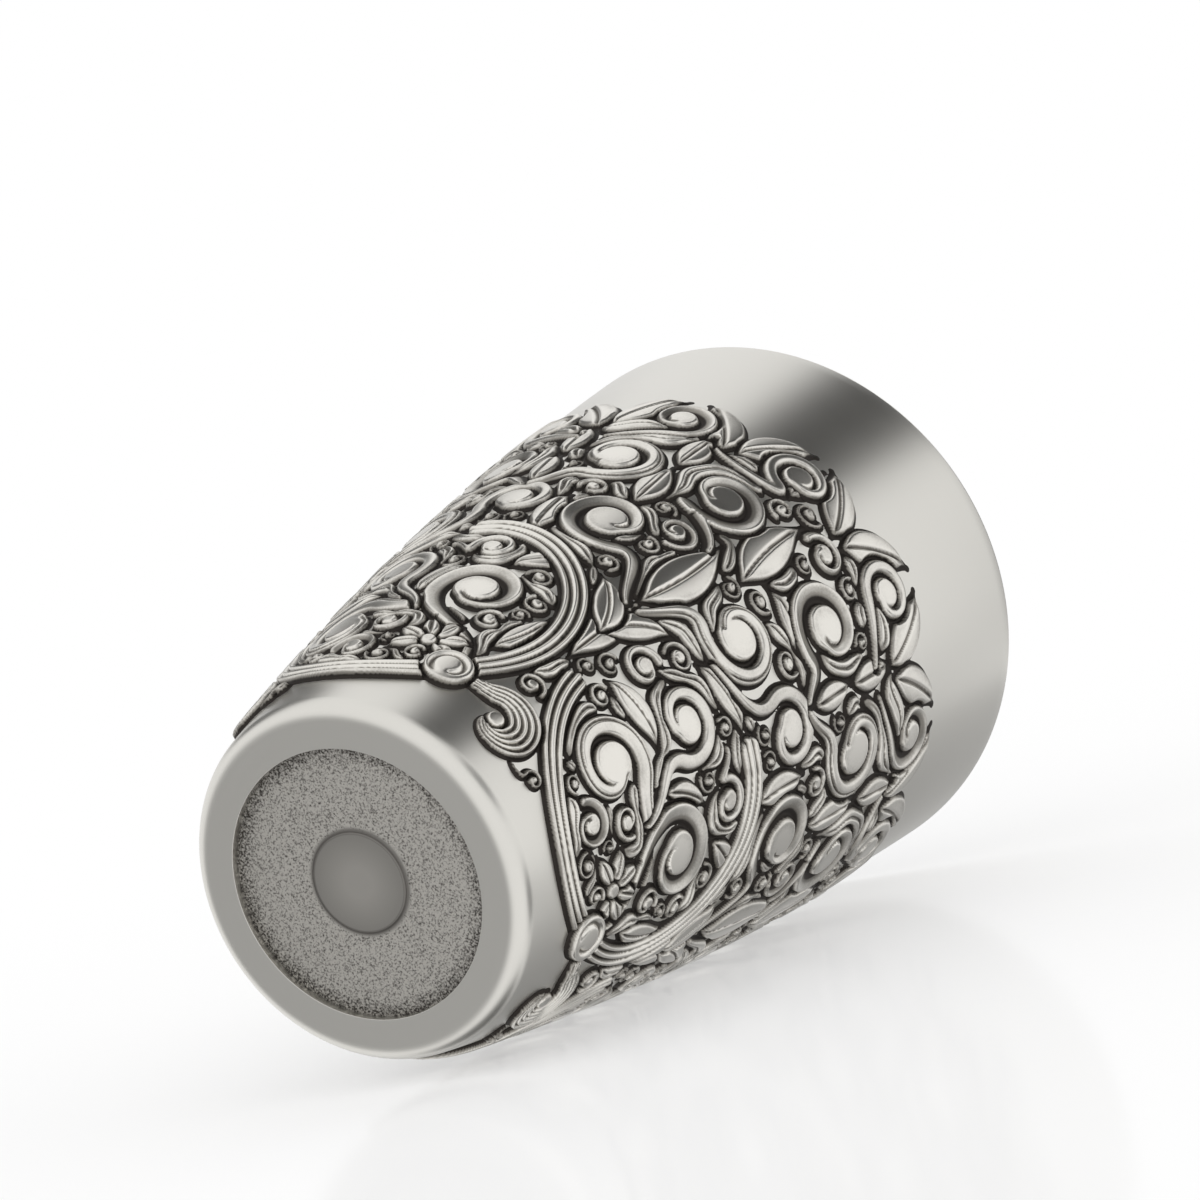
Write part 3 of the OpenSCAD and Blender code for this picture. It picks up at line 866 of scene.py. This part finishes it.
class ReliefSkin:
    """The ornament laid on the side: places, normals and the dark film of one repeat, cut into pieces."""

    def __init__(self, side, sizes):
        self.side = side
        self.heights, self.plane = side.unroll(sizes.low / MM)
        top = np.interp(sizes.high / MM, self.heights, self.plane)
        self.relief = Relief(top, sizes)
        self.rosette = draw_ornament(self.relief, top)
        relief = self.relief
        wear_mm = 0.11
        sink = smooth(SINK_FROM * relief.groove, SINK_TO * relief.groove, -relief.depth)
        drawn = relief.blurred(np.maximum(relief.height, 0), wear_mm) * sizes.height / MM
        self.field = drawn * (1 - sink) - SUNK * sink
        self.film = self.dark_film(drawn, drawn / (sizes.height / MM))
        self.zone = self.cut()

    def dark_film(self, drawn, share):
        """Film from 0 to 1: thick in grooves and creases, thinner round them, and rubbed off the ridges.

        A ridge lies over the mean of what is near it, a crease under it, and two blurs of the grooves give
        the way in which the film spreads.
        """
        blurred = self.relief.blurred
        bare, full = 0.5, 0.2
        ridge_rise, crease_least, crease_most = 0.16, 0.02, 0.12
        ridge_mm, crease_mm, near_mm, far_mm = 0.4, 0.3, 0.5, 1.4
        in_groove, in_crease, around, far_share, rubbed = 0.5, 0.55, 0.66, 0.8, 0.6
        groove = smooth(bare, full, share)
        ridge = smooth(0.0, ridge_rise, drawn - blurred(drawn, ridge_mm))
        crease = smooth(crease_least, crease_most, blurred(drawn, crease_mm) - drawn)
        spread = blurred(groove, near_mm) + far_share * blurred(groove, far_mm)
        film = in_groove * groove + in_crease * crease + around * spread * (1 - rubbed * ridge)
        return np.clip(film, 0, 1)

    def cut(self):
        """Piece to which each block belongs."""
        relief = self.relief
        inside = relief.depth > -SINK_TO * relief.groove
        wide = np.concatenate([inside, inside[:, :1]], 1)
        windows = np.lib.stride_tricks.sliding_window_view(wide, (BLOCK + 1, BLOCK + 1))
        kept = windows[::BLOCK, ::BLOCK].any((2, 3))
        x = relief.x[::BLOCK] + BLOCK * relief.step / 2
        y = relief.y[:-1:BLOCK] + BLOCK * relief.step / 2
        x, y = np.meshgrid(x, y)
        apart = np.hypot(x - RING_CENTRE[0], y - RING_CENTRE[1])
        zone = np.where(y < SPLIT, LOWER_PANEL, UPPER_PANEL)
        zone[(apart > RING_R + RING_HALF + RING_ROOM) & (y < SPRAY_TOP)] = SPRAY
        zone[np.hypot(x - self.rosette[0], y - self.rosette[1]) < ROSETTE_R + ROSETTE_ROOM] = ROSETTE
        return np.where(kept, zone, NOTHING)

    def piece(self, name, zone, from_middle, middle, material, node):
        """Builds the closed mesh of one zone of the repeat whose medallion stands at the turn `middle`.

        `from_middle` is the block column, counted from the medallion's middle, at which the cut starts.
        """
        relief = self.relief
        blocks = relief.columns // BLOCK
        kept = np.roll(self.zone == zone, -(from_middle + blocks // 2), axis=1)
        # Blocks that meet only at a corner get a neighbour, until none are left
        loose = np.ones(1)
        while loose.any():
            one, other = kept[:-1, :-1] & kept[1:, 1:], kept[:-1, 1:] & kept[1:, :-1]
            loose = (one & ~kept[:-1, 1:] & ~kept[1:, :-1]) | (other & ~kept[:-1, :-1] & ~kept[1:, 1:])
            kept[:-1, 1:] |= loose
            kept[:-1, :-1] |= loose
        across = from_middle * BLOCK + np.arange(relief.columns + 1)
        columns = (across + relief.half) % relief.columns
        x, y = np.meshgrid(across * relief.step, relief.y)
        front, normals = self.on_side(x, y, self.field[:, columns], middle)
        x, y = x[::BLOCK, ::BLOCK], y[::BLOCK, ::BLOCK]
        back, inward = self.on_side(x, y, np.full(x.shape, -BACK), middle)
        points = np.concatenate([front.reshape(-1, 3), back.reshape(-1, 3)])
        normals = np.concatenate([normals.reshape(-1, 3), -inward.reshape(-1, 3)])
        film = np.concatenate([self.film[:, columns].ravel(), np.ones(x.size)])
        faces = relief_faces(kept, len(across))
        used, order = np.unique(np.concatenate([f.ravel() for f in faces]), return_inverse=True)
        cut = faces[0].size
        faces = [order[:cut].reshape(-1, 4), order[cut:].reshape(-1, 3)]
        make_piece(name, points[used], faces, material, node,
                   normals=normals[used], patina=film[used])

    def on_side(self, x, y, proud, middle):
        """Points that stand `proud` of the side, square to it, and the normals of that raised surface."""
        turn = middle + x / UNROLL_R
        z = np.interp(y, self.plane, self.heights)
        r = self.side.radius(z)
        lean = self.side.slope(z)
        steep = np.sqrt(1 + lean ** 2)
        cos, sin, none = np.cos(turn), np.sin(turn), np.zeros_like(turn)
        outward = np.stack([cos, sin, -lean], -1) / steep[..., None]
        upward = np.stack([lean * cos, lean * sin, np.ones_like(turn)], -1) / steep[..., None]
        level = np.stack([-sin, cos, none], -1)
        points = np.stack([r * cos, r * sin, z], -1) + proud[..., None] * outward
        rise_y, rise_x = np.gradient(proud, y[:, 0], x[0])
        scale = r / UNROLL_R
        normals = outward - (rise_x / scale)[..., None] * level - (rise_y / scale)[..., None] * upward
        return points, normals / np.linalg.norm(normals, axis=-1, keepdims=True)


def add_node(tree, kind, settings=None, links=None):
    """Adds a shader node, sets its fields and input sockets, and links its inputs.

    The source of a link is an output, or a node whose first output is meant.
    """
    node = tree.nodes.new("ShaderNode" + kind)
    for name, value in (settings or {}).items():
        if isinstance(name, str) and hasattr(node, name):
            setattr(node, name, value)
        else:
            node.inputs[name].default_value = value
    for name, source in (links or {}).items():
        output = source.outputs[0] if isinstance(source, bpy.types.Node) else source
        tree.links.new(output, node.inputs[name])
    return node


def new_tree(name):
    """A material with an empty node tree."""
    material = bpy.data.materials.new(name)
    material.use_nodes = True
    material.node_tree.nodes.clear()
    return material, material.node_tree


# A Mix node's sockets: its factor, the two colours and their mixture, and the two values
FACTOR, FIRST, SECOND, MIXED = 0, 6, 7, 2
FIRST_VALUE, SECOND_VALUE = 2, 3
# A Map Range node that eases in and out
EASED = {"interpolation_type": "SMOOTHSTEP"}


def satin_pewter(colours):
    """Cast pewter, turned and brushed round the axis: fine lines that stretch reflections along the axis."""
    material, tree = new_tree("pewter_satin_turned")
    # Real brush lines are about 0.05 mm apart, too fine to show, so these are drawn five times as coarse
    line_mm, streak_mm = 0.25, 40.0
    uv = add_node(tree, "UVMap", {"uv_map": "surface"})
    lines = add_node(tree, "Mapping", {"Scale": (1 / streak_mm, 1 / line_mm, 1)}, {"Vector": uv})
    brush = add_node(tree, "TexNoise", {"Scale": 1.0, "Detail": 3.0, "Roughness": 0.6}, {"Vector": lines})
    rough = add_node(tree, "MapRange", {"To Min": 0.27, "To Max": 0.37}, {"Value": brush})
    bump = add_node(tree, "Bump", {"Strength": 0.25, "Distance": 0.02 * MM}, {"Height": brush})
    shader = add_node(tree, "BsdfPrincipled", {"Base Color": colours.satin, "Metallic": 1.0},
                      {"Roughness": rough, "Normal": bump})
    add_node(tree, "OutputMaterial", {}, {"Surface": shader})
    return material


def antiqued_pewter(colours):
    """Cast pewter, blackened and rubbed back: bright ridges, grey faces, dark film in the grooves."""
    material, tree = new_tree("pewter_antiqued_relief")
    # Real grain is about 0.1 mm, too fine to show, so it is drawn three times as coarse
    grain_mm, cloud_mm = 0.3, 4.0
    place = add_node(tree, "TexCoord").outputs["Object"]
    grain = add_node(tree, "TexNoise", {"Scale": 1 / (grain_mm * MM), "Detail": 3.0}, {"Vector": place})
    cloud = add_node(tree, "TexNoise", {"Scale": 1 / (cloud_mm * MM), "Detail": 2.0}, {"Vector": place})
    film = add_node(tree, "Attribute", {"attribute_name": "patina"}).outputs["Fac"]
    speckled = add_node(tree, "Math", {"operation": "MULTIPLY_ADD", 1: 0.16}, {0: grain, 2: film})
    clouded = add_node(tree, "Math", {"operation": "MULTIPLY_ADD", 1: 0.2}, {0: cloud, 2: speckled})
    rubbed = add_node(tree, "MapRange", {**EASED, "From Min": 0.22, "From Max": 0.58}, {"Value": clouded})
    dark = add_node(tree, "MapRange", {**EASED, "From Min": 0.6, "From Max": 1.05}, {"Value": clouded})
    faces = add_node(tree, "Mix", {"data_type": "RGBA", FIRST: colours.worn, SECOND: colours.antique},
                     {FACTOR: rubbed})
    colour = add_node(tree, "Mix", {"data_type": "RGBA", SECOND: colours.film},
                      {FACTOR: dark, FIRST: faces.outputs[MIXED]})
    rough = add_node(tree, "MapRange", {"From Min": 0.3, "To Min": 0.3, "To Max": 0.6}, {"Value": clouded})
    bump = add_node(tree, "Bump", {"Strength": 0.3, "Distance": 0.03 * MM}, {"Height": grain})
    shader = add_node(tree, "BsdfPrincipled", {"Metallic": 1.0},
                      {"Base Color": colour.outputs[MIXED], "Roughness": rough, "Normal": bump})
    add_node(tree, "OutputMaterial", {}, {"Surface": shader})
    return material


def granular_pewter(colours, sizes):
    """Pewter cast in a gritty mould: grey grains, black pits and a smooth pad.

    Painted shade darkens the base towards its recess wall, and a painted ring of shade lies round the pad's
    step.
    """
    material, tree = new_tree("pewter_granular_cast")
    grit_mm, pit_mm = 0.22, 0.26
    # Widths of the painted shade towards the recess wall and of the painted ring of shade round the pad, in
    # mm
    rim_mm, outline_mm = 3.0, 0.8
    pad = sizes.pad_diameter / 2
    edge = sizes.recess_diameter / 2
    place = add_node(tree, "TexCoord").outputs["Object"]
    flat = add_node(tree, "Mapping", {"Scale": (1, 1, 0)}, {"Vector": place})
    away = add_node(tree, "VectorMath", {"operation": "LENGTH"}, {0: flat}).outputs["Value"]
    gritty = add_node(tree, "MapRange", {"From Min": pad * 0.98, "From Max": pad * 1.02}, {"Value": away})
    # Painted shade in the corner: it grows over the last rim_mm towards the recess wall
    rim = add_node(tree, "MapRange", {**EASED, "From Min": edge - rim_mm * MM, "From Max": edge},
                   {"Value": away})
    from_pad = add_node(tree, "Math", {"operation": "SUBTRACT", 1: pad}, {0: away})
    beside = add_node(tree, "Math", {"operation": "ABSOLUTE"}, {0: from_pad})
    # Painted shade: a dark ring across the pad's step, darkest right at the step
    outline = add_node(tree, "MapRange",
                       {**EASED, "From Max": outline_mm * MM, "To Min": 0.8, "To Max": 0.0},
                       {"Value": beside})
    grit = add_node(tree, "TexNoise", {"Scale": 1 / (grit_mm * MM), "Detail": 4.0, "Roughness": 0.65},
                    {"Vector": place})
    pits = add_node(tree, "TexNoise", {"Scale": 1 / (pit_mm * MM), "Detail": 2.0}, {"Vector": place})
    # Real pits, with more of them turned dark near the recess wall as painted shade
    pits_plus_edge_shade = add_node(tree, "Math", {"operation": "MULTIPLY_ADD", 1: 0.16}, {0: rim, 2: pits})
    pits_and_edge_shade = add_node(tree, "MapRange", {"From Min": 0.46, "From Max": 0.76, "To Max": 0.95},
                      {"Value": pits_plus_edge_shade})
    # The pad's own darker tone, plus painted shade that grows towards its edge
    pad_tone_and_shade = add_node(tree, "MapRange",
                          {"From Min": pad * 0.3, "From Max": pad, "To Min": 0.12, "To Max": 0.4},
                          {"Value": away})
    # Pad or gritty base, with the painted ring of shade round the pad laid over both
    shaded = add_node(tree, "Mix", {},
                      {FACTOR: gritty, FIRST_VALUE: pad_tone_and_shade, SECOND_VALUE: pits_and_edge_shade})
    dark = add_node(tree, "Math", {"operation": "MAXIMUM"}, {0: shaded, 1: outline})
    colour = add_node(tree, "Mix", {"data_type": "RGBA", FIRST: colours.granular, SECOND: colours.film},
                      {FACTOR: dark})
    rough = add_node(tree, "MapRange", {"To Min": 0.38, "To Max": 0.55}, {"Value": gritty})
    strength = add_node(tree, "MapRange", {"To Min": 0.08, "To Max": 0.6}, {"Value": gritty})
    bump = add_node(tree, "Bump", {"Distance": 0.1 * MM}, {"Height": grit, "Strength": strength})
    shader = add_node(tree, "BsdfPrincipled", {"Metallic": 1.0},
                      {"Base Color": colour.outputs[MIXED], "Roughness": rough, "Normal": bump})
    add_node(tree, "OutputMaterial", {}, {"Surface": shader})
    return material


def pewter_solder(colours):
    """Soft solder that ran and set by itself: a smooth, slightly dull and rippled bead."""
    material, tree = new_tree("pewter_solder_run")
    ripple_mm = 2.5
    place = add_node(tree, "TexCoord").outputs["Object"]
    ripple = add_node(tree, "TexNoise", {"Scale": 1 / (ripple_mm * MM), "Detail": 2.0}, {"Vector": place})
    bump = add_node(tree, "Bump", {"Strength": 0.4, "Distance": 0.1 * MM}, {"Height": ripple})
    shader = add_node(tree, "BsdfPrincipled",
                      {"Base Color": colours.solder, "Metallic": 1.0, "Roughness": 0.38}, {"Normal": bump})
    add_node(tree, "OutputMaterial", {}, {"Surface": shader})
    return material


class TUMBLER_OT_cup(bpy.types.Operator):
    """Builds the turned wall of the cup"""

    bl_idname = "tumbler.cup"
    bl_label = "Cup wall"

    def execute(self, context):
        sizes = context.scene.tumbler_cup
        points, faces, uv = revolve(cup_profile(Side(sizes), sizes), sizes.segments)
        material = satin_pewter(context.scene.tumbler_colours)
        make_piece("cup_wall", points, faces, material, "cup_body", uv=uv)
        return {"FINISHED"}


class TUMBLER_OT_base(bpy.types.Operator):
    """Builds the base disc"""

    bl_idname = "tumbler.base"
    bl_label = "Base"

    def execute(self, context):
        sizes = context.scene.tumbler_cup
        points, faces = revolve_disc(base_profile(sizes), sizes.segments)
        material = granular_pewter(context.scene.tumbler_colours, sizes)
        make_piece("base_disc", points, faces, material, "base_plate")
        return {"FINISHED"}


class TUMBLER_OT_solder(bpy.types.Operator):
    """Builds the bead of solder that holds the base"""

    bl_idname = "tumbler.solder"
    bl_label = "Solder"

    def execute(self, context):
        points, faces = solder_ring(context.scene.tumbler_cup.segments)
        material = pewter_solder(context.scene.tumbler_colours)
        make_piece("solder_bead", points, faces, material, "solder_fillet")
        return {"FINISHED"}


class TUMBLER_OT_relief(bpy.types.Operator):
    """Builds the panels, sprays and rosettes of the ornament"""

    bl_idname = "tumbler.relief"
    bl_label = "Relief"

    def execute(self, context):
        skin = ReliefSkin(Side(context.scene.tumbler_cup), context.scene.tumbler_relief)
        material = antiqued_pewter(context.scene.tumbler_colours)
        middle_cut = -(skin.relief.columns // BLOCK // 2)
        for i in range(REPEATS):
            n = i + 1
            middle = TURN * (i + 0.5)
            panel = f"relief_panel_{n}"
            skin.piece(f"panel_{n}_medallion", LOWER_PANEL, middle_cut, middle, material, panel)
            skin.piece(f"panel_{n}_crest", UPPER_PANEL, middle_cut, middle, material, panel)
            skin.piece(f"spray_{n}", SPRAY, 0, middle - TURN, material, f"fan_spray_{n}")
            skin.piece(f"rosette_boss_{n}", ROSETTE, middle_cut, middle, material, f"rosette_{n}")
        return {"FINISHED"}


# Cards that the metal mirrors: turn and rise in degrees, width and height in metres, shade, and the share
# of the width at which the shade starts to fade
CARDS = (
    ("flag_dark", 157, 34, 0.37, 1.3, 0.02, 0.25),
    ("flag_floor", 306, 36, 1.6, 1.1, 0.26, 0.0),
    ("flag_top", 240, 76, 0.36, 0.36, 0.2, 0.26),
    ("flag_side", 74, 24, 0.38, 0.6, 0.1, 0.26),
    ("flag_back", 250, 2, 0.3, 0.4, 0.15, 0.26),
    ("flag_front", 312, -6, 0.6, 0.45, 0.08, 0.26),
    ("flag_far", 190, -10, 0.3, 0.4, 0.2, 0.26),
    ("flag_under", 17, -52, 0.9, 0.9, 0.42, 0.2),
)
# Distance of the cards from the cup's middle, and the size of a floor, in metres
CARD_DISTANCE = 0.5
FLOOR_SIZE = 3
# Gap under the foot that keeps the floor out of the foot's own plane, in metres
HAIR = 0.0001


def white_floor(fill):
    """White acrylic, seen from above only: a soft shadow and a faint mirror image that fade to white.

    Where the floor on which the cup lies rises above the foot, it shows only through the floor on which the
    cup stands, so a view from above has one floor and a view from below has the other.
    """
    material, tree = new_tree("acrylic_white_floor")
    matt, sheen, near, far, brightness = 0.62, 0.15, 0.16, 0.42, 1.03
    geometry = add_node(tree, "NewGeometry")
    place = add_node(tree, "TexCoord").outputs["Object"]
    away = add_node(tree, "VectorMath", {"operation": "LENGTH"}, {0: place}).outputs["Value"]
    fade = add_node(tree, "MapRange", {**EASED, "From Min": near, "From Max": far}, {"Value": away})
    diffuse = add_node(tree, "BsdfDiffuse", {"Color": (matt, matt, matt, 1)})
    glow = add_node(tree, "Emission", {"Strength": brightness - matt * fill})
    both = add_node(tree, "AddShader", {}, {0: diffuse, 1: glow})
    gloss = add_node(tree, "BsdfGlossy", {"Roughness": 0.12})
    polished = add_node(tree, "MixShader", {0: sheen}, {1: both, 2: gloss})
    white = add_node(tree, "Emission", {"Strength": 1.0})
    faded = add_node(tree, "MixShader", {}, {0: fade, 1: polished, 2: white})
    path = add_node(tree, "LightPath")
    parts = add_node(tree, "SeparateXYZ", {}, {"Vector": place})
    raised = add_node(tree, "Math", {"operation": "GREATER_THAN", 1: -HAIR / 2}, {0: parts.outputs["Z"]})
    unseen = add_node(tree, "Math", {"operation": "GREATER_THAN"},
                      {0: raised, 1: path.outputs["Transparent Depth"]})
    hidden = add_node(tree, "Math", {"operation": "MAXIMUM"},
                      {0: geometry.outputs["Backfacing"], 1: unseen})
    clear = add_node(tree, "BsdfTransparent")
    shown = add_node(tree, "MixShader", {}, {0: hidden, 1: faded, 2: clear})
    add_node(tree, "OutputMaterial", {}, {"Surface": shown})
    return material


def grey_card(name, shade, core):
    """Studio card of one grey that fades to white towards its edge, so its mirror image ends softly."""
    material, tree = new_tree(name)
    uv = add_node(tree, "UVMap", {"uv_map": "sheet"})
    away = add_node(tree, "VectorMath", {"operation": "DISTANCE", 1: (0.5, 0.5, 0)}, {0: uv})
    grey = add_node(tree, "MapRange", {**EASED, "From Min": core, "From Max": 0.5, "To Min": shade},
                    {"Value": away.outputs["Value"]})
    glow = add_node(tree, "Emission", {}, {"Strength": grey})
    add_node(tree, "OutputMaterial", {}, {"Surface": glow})
    return material


def white_surround(fill):
    """World that is white where it is seen or mirrored, and gives its fill elsewhere."""
    world = bpy.data.worlds.new("white_surround")
    world.use_nodes = True
    tree = world.node_tree
    tree.nodes.clear()
    path = add_node(tree, "LightPath").outputs
    direct = add_node(tree, "Math", {"operation": "ADD"},
                      {0: path["Is Camera Ray"], 1: path["Is Glossy Ray"]})
    seen = add_node(tree, "Math", {"operation": "ADD"}, {0: direct, 1: path["Is Transmission Ray"]})
    white = add_node(tree, "MapRange", {"To Min": fill, "To Max": 1.0}, {"Value": seen})
    surround = add_node(tree, "Background", {"Color": (1, 1, 1, 1)}, {"Strength": white})
    add_node(tree, "OutputWorld", {}, {"Surface": surround})
    return world


def stage_sheet(name, centre, normal, width, height, material):
    """Flat rectangle square to a normal, in metres, that belongs to the stage."""
    normal = Vector(normal).normalized()
    turn = normal.to_track_quat("Z", "Y").to_matrix()
    corners = [Vector(centre) + turn @ Vector((sx * width / 2, sy * height / 2, 0))
               for sx, sy in ((-1, -1), (1, -1), (1, 1), (-1, 1))]
    mesh = bpy.data.meshes.new(name)
    mesh.from_pydata(corners, [], [(0, 1, 2, 3)])
    mesh.uv_layers.new(name="sheet").data.foreach_set("uv", (0, 0, 1, 0, 1, 1, 0, 1))
    mesh.materials.append(material)
    sheet = bpy.data.objects.new(name, mesh)
    bpy.context.scene.collection.objects.link(sheet)
    return sheet


def direction(turn, rise):
    """Direction by its turn round the axis and its rise over the level, in degrees."""
    level = unit(turn) * math.cos(math.radians(rise))
    return Vector((*level, math.sin(math.radians(rise))))


def lying_floor(side, relief, turn, centre):
    """Point and normal of the floor on which the cup lies along the line of its side at a turn.

    The normal leans as the side does at mid height, and the floor touches the lowest point of that line.
    """
    out = unit(turn)
    up = -Vector((*out, -side.slope(side.height / 2))).normalized()
    z = np.linspace(0, side.height, 200)
    ornament = (z > relief.low / MM) & (z < relief.high / MM)
    reach = (side.radius(z) + ornament * relief.height / MM) * out[:, None]
    level = (up.x * reach[0] + up.y * reach[1] + up.z * z).min() * MM
    return centre + up * (level - up.dot(centre)), up


class TUMBLER_OT_stage(bpy.types.Operator):
    """Builds the camera, the floor and the studio light"""

    bl_idname = "tumbler.stage"
    bl_label = "Stage"

    def execute(self, context):
        scene = context.scene
        studio = scene.tumbler_studio
        side = Side(scene.tumbler_cup)
        scene.view_settings.view_transform = "Standard"
        data = bpy.data.cameras.new("camera")
        data.lens = studio.lens
        camera = bpy.data.objects.new("camera", data)
        camera.location = studio.camera_place
        camera.rotation_euler = studio.camera_turn
        scene.collection.objects.link(camera)
        scene.camera = camera

        # The cup stands on one floor and, as in the photograph, lies on another along its side
        centre = Vector((0, 0, side.height * MM / 2))
        floor = white_floor(studio.fill)
        lying, up = lying_floor(side, scene.tumbler_relief, math.degrees(studio.rest_turn), centre)
        floors = (stage_sheet("floor_standing", (0, 0, -HAIR), (0, 0, 1), FLOOR_SIZE, FLOOR_SIZE, floor),
                  stage_sheet("floor_lying", lying, up, FLOOR_SIZE, FLOOR_SIZE, floor))
        for sheet in floors:
            sheet.visible_diffuse = sheet.visible_glossy = sheet.visible_shadow = False

        for name, turn, rise, width, height, shade, core in CARDS:
            away = direction(turn, rise)
            card = stage_sheet(name, centre + CARD_DISTANCE * away, -away, width, height,
                               grey_card(name, shade, core))
            card.visible_camera = card.visible_diffuse = card.visible_shadow = False
        scene.world = white_surround(studio.fill)
        return {"FINISHED"}


class TUMBLER_PT_panel(bpy.types.Panel):
    """Sizes, colours and build steps of the tumbler"""

    bl_idname = "TUMBLER_PT_panel"
    bl_label = "Tumbler"
    bl_space_type = "VIEW_3D"
    bl_region_type = "UI"
    bl_category = "Tumbler"

    def draw(self, context):
        for group_name in GROUPS:
            group = getattr(context.scene, group_name)
            box = self.layout.box()
            for name in group.__annotations__:
                box.prop(group, name)
        for operator in OPERATORS:
            self.layout.operator(operator.bl_idname)


OPERATORS = (TUMBLER_OT_cup, TUMBLER_OT_base, TUMBLER_OT_solder, TUMBLER_OT_relief, TUMBLER_OT_stage)
GROUPS = {
    "tumbler_cup": CupSizes,
    "tumbler_relief": ReliefSizes,
    "tumbler_colours": PewterColours,
    "tumbler_studio": StudioSettings,
}
CLASSES = (*GROUPS.values(), *OPERATORS, TUMBLER_PT_panel)


def register():
    """Registers the classes and hangs the settings on the scene."""
    for cls in CLASSES:
        bpy.utils.register_class(cls)
    for name, group in GROUPS.items():
        setattr(bpy.types.Scene, name, PointerProperty(type=group))


def unregister():
    """Takes the settings and the classes out again."""
    for name in GROUPS:
        delattr(bpy.types.Scene, name)
    for cls in reversed(CLASSES):
        bpy.utils.unregister_class(cls)


def main():
    """Builds all pieces and the stage."""
    register()
    bpy.ops.tumbler.cup()
    bpy.ops.tumbler.base()
    bpy.ops.tumbler.solder()
    bpy.ops.tumbler.relief()
    bpy.ops.tumbler.stage()


if __name__ == "__main__":
    main()
